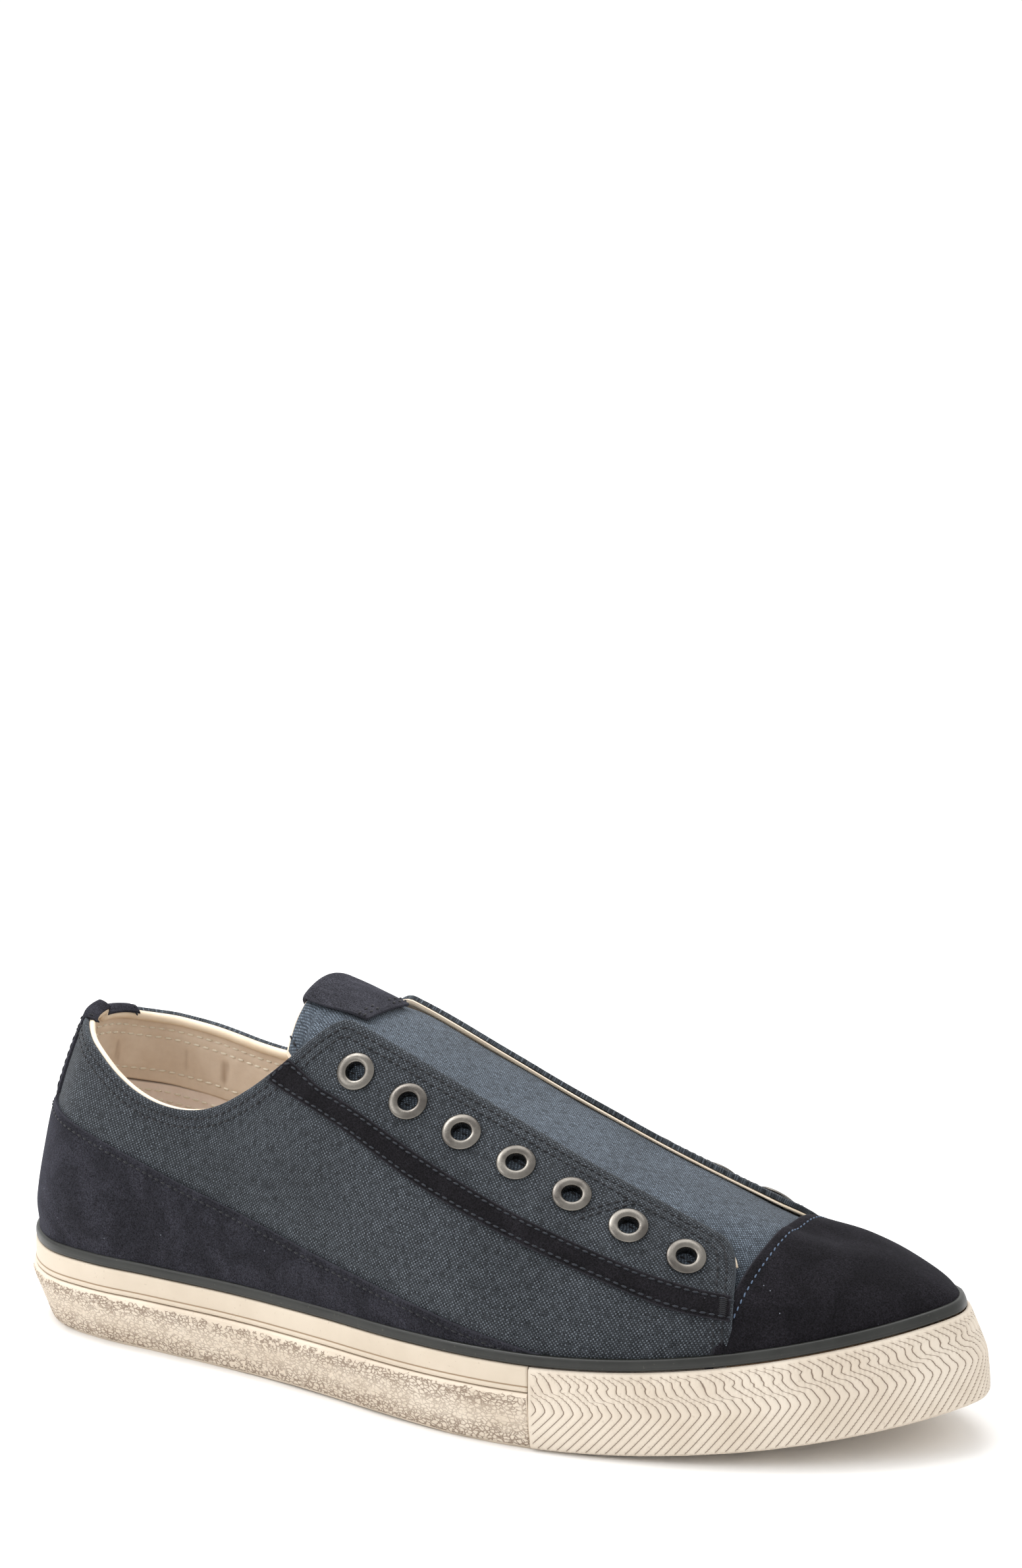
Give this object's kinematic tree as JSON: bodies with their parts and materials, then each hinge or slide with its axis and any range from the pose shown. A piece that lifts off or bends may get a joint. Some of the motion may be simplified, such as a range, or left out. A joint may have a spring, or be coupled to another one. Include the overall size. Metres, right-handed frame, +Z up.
{
  "type": "slip-on sneaker",
  "caption": "Low slip-on canvas sneaker for the right foot with suede overlays, unlaced metal eyelets, rubber sole and ribbed rubber toe bumper.",
  "frame": {"origin": "middle of the shoe's box from above, on the floor plane that the sole stands on", "axes": "+X from the heel towards the toe, +Y towards the wearer's left, which is the inner side of this right shoe, +Z up"},
  "size_m": [0.3014, 0.1056, 0.1097],
  "materials": {
    "tread": "matt, rough moulded",
    "foxing": "smooth, slightly satin",
    "bumper": "matt, ribbed",
    "piping": "satin",
    "canvas": "washed coarse weave",
    "suede": "short nap",
    "leather": "smooth, softly creased",
    "nickel": "satin nickel"
  },
  "bodies": {
    "root": {"outsole": "tread", "foxing_band": "foxing", "toe_bumper": "bumper", "piping": "piping", "upper": "canvas", "toe_cap": "suede", "heel_counter": "suede", "heel_strip": "suede", "heel_tab": "suede", "side_band_outer": "suede", "side_band_inner": "suede", "tongue": "canvas", "tongue_tab": "suede", "insole": "leather", "eyelet_outer_1": "nickel", "eyelet_outer_2": "nickel", "eyelet_outer_3": "nickel", "eyelet_outer_4": "nickel", "eyelet_outer_5": "nickel", "eyelet_outer_6": "nickel", "eyelet_outer_7": "nickel", "eyelet_inner_1": "nickel", "eyelet_inner_2": "nickel", "eyelet_inner_3": "nickel", "eyelet_inner_4": "nickel", "eyelet_inner_5": "nickel", "eyelet_inner_6": "nickel", "eyelet_inner_7": "nickel"}
  },
  "joints": []
}
